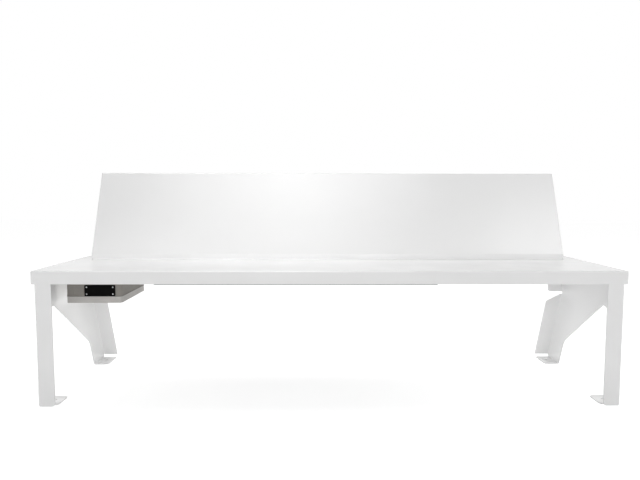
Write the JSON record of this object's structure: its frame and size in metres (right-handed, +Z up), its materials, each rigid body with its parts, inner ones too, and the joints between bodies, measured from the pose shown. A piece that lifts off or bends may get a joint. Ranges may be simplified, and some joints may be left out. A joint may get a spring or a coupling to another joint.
{
  "type": "heated bench",
  "caption": "Heated public bench of folded white sheet steel, with a leaning backrest, bent plate end frames and a control box under the seat.",
  "frame": {"origin": "middle of the overall width and depth, on the floor under the feet", "axes": "+X along the seat to the sitter's left, which is the right in the front view, +Y from the front lip to the backrest, +Z up"},
  "size_m": [2, 0.595, 0.8085],
  "materials": {
    "white_coat": "glossy white powder coat with a faint ripple",
    "tray_grey": "satin dark grey coat",
    "zinc_steel": "bright zinc plate",
    "box_grey": "moulded warm grey, fine texture",
    "lid_grey": "moulded light grey, fine texture",
    "plate_black": "polished black",
    "black_rubber": "matt",
    "sensor_jacket": "matt",
    "gland_grey": "moulded nylon",
    "module_grey": "fine moulded texture",
    "terminal_grey": "fine moulded texture",
    "control_black": "satin",
    "silicone_orange": "satin silicone",
    "mineral_wool": "pressed fibre board"
  },
  "bodies": {
    "bench": {"seat_panel": "white_coat", "front_seat_rail": "white_coat", "rear_seat_rail": "white_coat", "seat_studs": "zinc_steel", "backrest_panel": "white_coat", "backrest_bracket_left": "white_coat", "backrest_bracket_middle": "white_coat", "backrest_bracket_right": "white_coat", "backrest_studs": "zinc_steel", "backrest_stud_nuts": "zinc_steel", "bracket_bolts": "zinc_steel", "bracket_nuts": "zinc_steel", "foot_flange_screws": "zinc_steel", "foot_flange_nuts": "zinc_steel", "left_end_frame": "white_coat", "right_end_frame": "white_coat", "frame_nuts": "zinc_steel", "heating_mat": "silicone_orange", "heater_joint_block": "black_rubber", "temperature_sensor": "zinc_steel", "insulation_board": "mineral_wool", "heater_tray": "tray_grey", "tray_nuts": "zinc_steel", "tray_grommets": "black_rubber", "heater_lead": "black_rubber", "sensor_lead": "sensor_jacket", "box_body": "box_grey", "hanger_strip_left": "zinc_steel", "hanger_strip_right": "zinc_steel", "hanger_nuts": "zinc_steel", "hanger_screws": "zinc_steel", "hanger_screw_nuts": "zinc_steel", "front_plate": "plate_black", "front_plate_seal": "black_rubber", "front_plate_screws": "zinc_steel", "heater_gland": "gland_grey", "sensor_gland": "gland_grey", "supply_gland": "gland_grey", "gland_locknuts": "gland_grey", "mounting_rail": "zinc_steel", "mounting_rail_screws": "zinc_steel", "circuit_breaker": "module_grey", "thermostat": "module_grey", "terminal_block": "terminal_grey", "power_supply": "module_grey"},
    "lid": {"box_lid": "lid_grey", "lid_seal": "black_rubber", "lid_screws": "zinc_steel"},
    "toggle": {"breaker_toggle": "control_black"},
    "dial": {"thermostat_dial": "control_black"}
  },
  "joints": [
    {"name": "lid_lift_off", "type": "slide", "parent": "bench", "child": "lid", "axis": [0, 0, -1], "range_m": [0, 0.11]},
    {"name": "breaker_switch", "type": "hinge", "parent": "bench", "child": "toggle", "pos_m": [-0.855, -0.0895, 0.3745], "axis": [0, 1, 0], "range_deg": [-56, 0]},
    {"name": "thermostat_turn", "type": "hinge", "parent": "bench", "child": "dial", "pos_m": [-0.855, -0.0605, 0.37], "axis": [0, 0, 1], "range_deg": [0, 270]}
  ]
}
